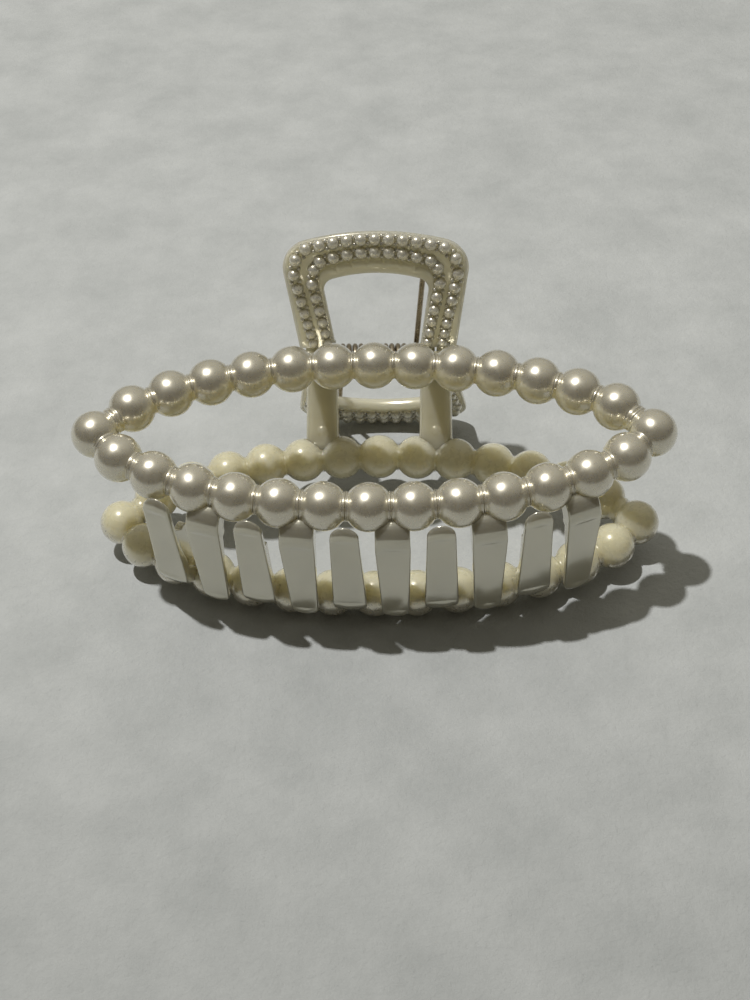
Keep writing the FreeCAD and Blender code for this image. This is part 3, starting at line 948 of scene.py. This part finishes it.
# ---------------------------------------------------------------- build
pearl = pearl_material()
small_pearl = small_pearl_material()
# The arms' bare plastic is the same moulding as the beads' bare body but is coloured darker: painted shade
# on the arms.
plastic = plastic_material("cream_plastic", (0.52, 0.485, 0.355), (0.56, 0.525, 0.39), 0.15, 0.01)
handle_lacquer = plastic_material("handle_lacquer", (0.61, 0.575, 0.435), (0.65, 0.615, 0.47), 0.2, 0.008)
tooth_lacquer = plastic_material("tooth_lacquer", (0.57, 0.55, 0.45), (0.59, 0.57, 0.47), 0.68, 0.003)


def build(name, maker, material, jaw, node, sharp_angle=None):
    bm = bmesh.new()
    maker(bm)
    return place(make_object(name, bm, material, sharp_angle), jaw, node)


for jaw in JAWS:
    build(f"{jaw}_bead_chain", bead_chain, pearl, jaw, f"{jaw}_bead_loop")
    claws = build(f"{jaw}_claw_teeth", teeth, tooth_lacquer, jaw, f"{jaw}_teeth")
    fuse(claws, voxel=0.1, softening=1)
    build(f"{jaw}_handle_frame", handle_bow, handle_lacquer, jaw, f"{jaw}_handle_bow", 55)
    build(f"{jaw}_handle_beads", handle_pearls, small_pearl, jaw, f"{jaw}_handle_pearls")
    for side in OTHER_SIDE:
        arm_object(jaw, side, plastic)

build("pin_rod", hinge_pin, pin_material(), "lower", "hinge_pin", 40)

bm = bmesh.new()
spring_wire(bm)
spring = make_object("spring_coil", bm, wire_material())
spring.data.transform(TO_ROW)
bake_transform(spring)
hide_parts("torsion_spring")


# ---------------------------------------------------------------- floor, light and camera
FLOOR_SIZE = 3.0
KEY_DIRECTION = Vector((0.245, -0.03, -0.965))
KEY_DISTANCE = 1.4
KEY_SIZE = 0.035
KEY_POWER = 15.0
BRIGHT_SKY = (0, 0.6, 0.8)
WORLD_STRENGTH = 0.38
CAMERA_TARGET = Vector((0.36, -15.08, 20.0)) * MM
CAMERA_DISTANCE = 0.2354
CAMERA_ELEVATION = math.radians(43.2)
CAMERA_AZIMUTH = math.radians(3.87)
CAMERA_ROLL = math.radians(-2.7)
CAMERA_LENS = 50.4


def add_floor():
    bm = bmesh.new()
    bmesh.ops.create_grid(bm, x_segments=24, y_segments=24, size=FLOOR_SIZE / 2)
    make_object("floor", bm, floor_material())


def aimed(direction, up=UP):
    """Rotation that points -Z along direction."""
    back = -direction.normalized()
    across = up.cross(back).normalized()
    return Matrix((across, back.cross(across), back)).transposed().to_4x4()


def add_key_light():
    light = bpy.data.lights.new("key", "AREA")
    light.energy = KEY_POWER
    light.color = (1.0, 0.985, 0.96)
    light.size = KEY_SIZE
    lamp = bpy.data.objects.new("key", light)
    bpy.context.scene.collection.objects.link(lamp)
    direction = KEY_DIRECTION.normalized()
    lamp.matrix_world = Matrix.Translation(CAMERA_TARGET - direction * KEY_DISTANCE) @ aimed(direction)


def add_world():
    """Soft studio surround: pale above and behind the clip, dark in front and low down."""
    world = bpy.data.worlds.new("studio")
    bpy.context.scene.world = world
    world.use_nodes = True
    tree = world.node_tree
    place_node = tree.nodes.new("ShaderNodeTexCoord")
    towards = tree.nodes.new("ShaderNodeVectorMath")
    towards.operation = "DOT_PRODUCT"
    towards.inputs[1].default_value = BRIGHT_SKY
    ramp = tree.nodes.new("ShaderNodeValToRGB")
    tree.links.new(place_node.outputs["Generated"], towards.inputs[0])
    tree.links.new(towards.outputs["Value"], ramp.inputs["Fac"])
    tree.links.new(ramp.outputs["Color"], tree.nodes["Background"].inputs["Color"])
    low, high = ramp.color_ramp.elements
    low.position = 0.15
    low.color = (0.18, 0.155, 0.11, 1)
    high.position = 0.9
    high.color = (1.0, 0.96, 0.82, 1)
    tree.nodes["Background"].inputs["Strength"].default_value = WORLD_STRENGTH


def add_camera():
    cosine = math.cos(CAMERA_ELEVATION)
    away = Vector((cosine * math.sin(CAMERA_AZIMUTH), -cosine * math.cos(CAMERA_AZIMUTH),
                   math.sin(CAMERA_ELEVATION)))
    data = bpy.data.cameras.new("camera")
    data.lens = CAMERA_LENS
    data.clip_start = 0.01
    camera = bpy.data.objects.new("camera", data)
    bpy.context.scene.collection.objects.link(camera)
    turn = aimed(-away) @ Matrix.Rotation(CAMERA_ROLL, 4, "Z")
    camera.matrix_world = Matrix.Translation(CAMERA_TARGET + away * CAMERA_DISTANCE) @ turn
    bpy.context.scene.camera = camera


bpy.context.scene.view_settings.view_transform = "Standard"
add_floor()
add_key_light()
add_world()
add_camera()
